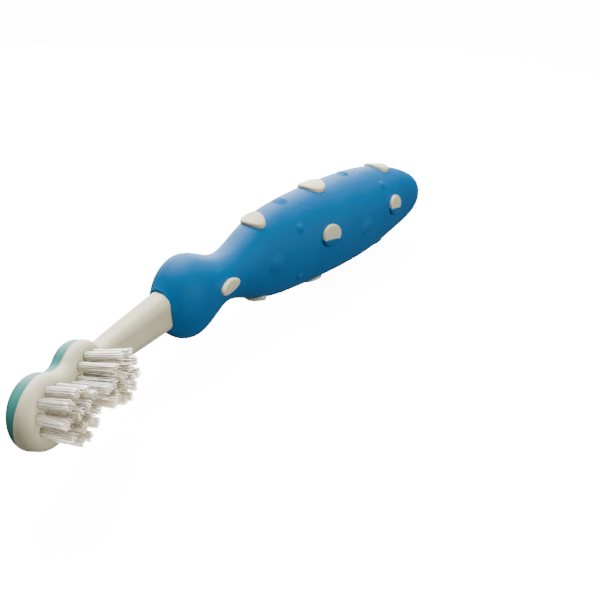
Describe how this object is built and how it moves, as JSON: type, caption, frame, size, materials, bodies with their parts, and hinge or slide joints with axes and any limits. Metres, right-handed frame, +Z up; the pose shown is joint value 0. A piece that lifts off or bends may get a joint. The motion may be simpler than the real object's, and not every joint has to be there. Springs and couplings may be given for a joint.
{
  "type": "pet toothbrush",
  "caption": "Small toothbrush lying on its side, with a chunky soft round grip, a slim neck and a two-lobed bristle head.",
  "frame": {"origin": "on the surface the brush lies on, under the middle of its bounding box", "axes": "+X along the handle from the head towards the handle's tip, bristles point towards -Y, +Z up across the brush's width as it lies on its side"},
  "size_m": [0.1376, 0.0292, 0.0269],
  "materials": {
    "ivory_plastic": "satin",
    "blue_grip": "satin",
    "teal_pad": "satin",
    "clear_nylon": "clear nylon filament",
    "anchor_metal": "plain"
  },
  "bodies": {
    "root": {"core": "ivory_plastic", "grip": "blue_grip", "head_pad": "teal_pad", "tuft_anchors": "anchor_metal", "tuft_01": "clear_nylon", "tuft_02": "clear_nylon", "tuft_03": "clear_nylon", "tuft_04": "clear_nylon", "tuft_05": "clear_nylon", "tuft_06": "clear_nylon", "tuft_07": "clear_nylon", "tuft_08": "clear_nylon", "tuft_09": "clear_nylon", "tuft_10": "clear_nylon", "tuft_11": "clear_nylon", "tuft_12": "clear_nylon", "tuft_13": "clear_nylon", "tuft_14": "clear_nylon", "tuft_15": "clear_nylon", "tuft_16": "clear_nylon", "tuft_17": "clear_nylon", "tuft_18": "clear_nylon", "tuft_19": "clear_nylon", "tuft_20": "clear_nylon", "tuft_21": "clear_nylon", "tuft_22": "clear_nylon", "tuft_23": "clear_nylon", "tuft_24": "clear_nylon", "tuft_25": "clear_nylon", "tuft_26": "clear_nylon", "tuft_27": "clear_nylon", "tuft_28": "clear_nylon", "tuft_29": "clear_nylon", "tuft_30": "clear_nylon"}
  },
  "joints": []
}
